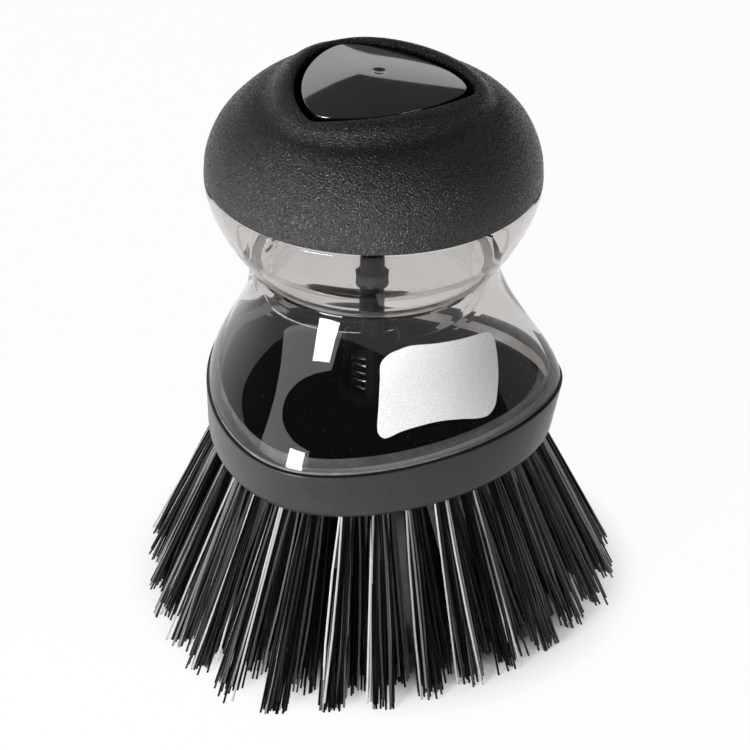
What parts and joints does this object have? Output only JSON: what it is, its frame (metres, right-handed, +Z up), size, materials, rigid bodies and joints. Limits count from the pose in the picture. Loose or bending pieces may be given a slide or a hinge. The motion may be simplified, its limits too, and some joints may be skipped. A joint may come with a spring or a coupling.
{
  "type": "soap dispensing brush",
  "caption": "Palm dish brush: a domed grip with a push button unscrews from a clear soap tank over a rounded-triangle foot with flared stiff bristles and a poppet outlet valve.",
  "frame": {"origin": "middle of the footprint at the level of the bristle tips; the pump axis stands 2.8 mm towards -X of it, because the foot is a rounded triangle", "axes": "+Z up along the pump axis, from the bristle tips to the button; +X towards one corner of the foot"},
  "size_m": [0.0952, 0.096, 0.1116],
  "materials": {
    "dome_black": "fine spark-eroded grain",
    "button_black": "high gloss",
    "foot_grey": "satin",
    "inner_black": "satin",
    "clear_smoke": "clear, light warm grey",
    "seal_rubber": "matt",
    "spring_steel": "drawn wire",
    "bristle_black": "drawn nylon"
  },
  "bodies": {
    "base": {"tank": "clear_smoke", "base_gasket": "seal_rubber", "brush_head": "foot_grey", "valve_cage": "inner_black", "valve_spring": "spring_steel", "bristles_outer_1": "bristle_black", "bristles_outer_2": "bristle_black", "bristles_outer_3": "bristle_black", "bristles_middle_1": "bristle_black", "bristles_middle_2": "bristle_black", "bristles_middle_3": "bristle_black", "bristles_inner_1": "bristle_black", "bristles_inner_2": "bristle_black", "bristles_inner_3": "bristle_black"},
    "valve": {"valve_plunger": "inner_black", "valve_washer": "seal_rubber", "spring_retainer": "inner_black"},
    "neck_seal": {"neck_gasket": "seal_rubber"},
    "cap": {"collar_bowl": "clear_smoke", "rod_wiper": "seal_rubber", "grip_dome": "dome_black", "return_spring": "spring_steel"},
    "button": {"push_button": "button_black", "push_rod": "inner_black"}
  },
  "joints": [
    {"name": "cap_rise", "type": "slide", "parent": "base", "child": "neck_seal", "axis": [0, 0, 1], "range_m": [0, 0.0036]},
    {"name": "cap_turn", "type": "hinge", "parent": "neck_seal", "child": "cap", "pos_m": [-0.0028, 0, 0.0737], "axis": [0, 0, 1], "range_deg": [0, 120]},
    {"name": "button_press", "type": "slide", "parent": "cap", "child": "button", "axis": [0, 0, -1], "range_m": [0, 0.004], "stiffness_N_per_m": 400, "springref_m": -0.005, "deforming": ["return_spring"]},
    {"name": "valve_open", "type": "slide", "parent": "base", "child": "valve", "axis": [0, 0, -1], "range_m": [0, 0.004], "deforming": ["valve_spring"]}
  ],
  "couplings": [
    {"joint": "cap_rise", "follows": "cap_turn", "m_per_rad": 0.0017188},
    {"joint": "valve_open", "follows": "button_press", "ratio": 1}
  ]
}
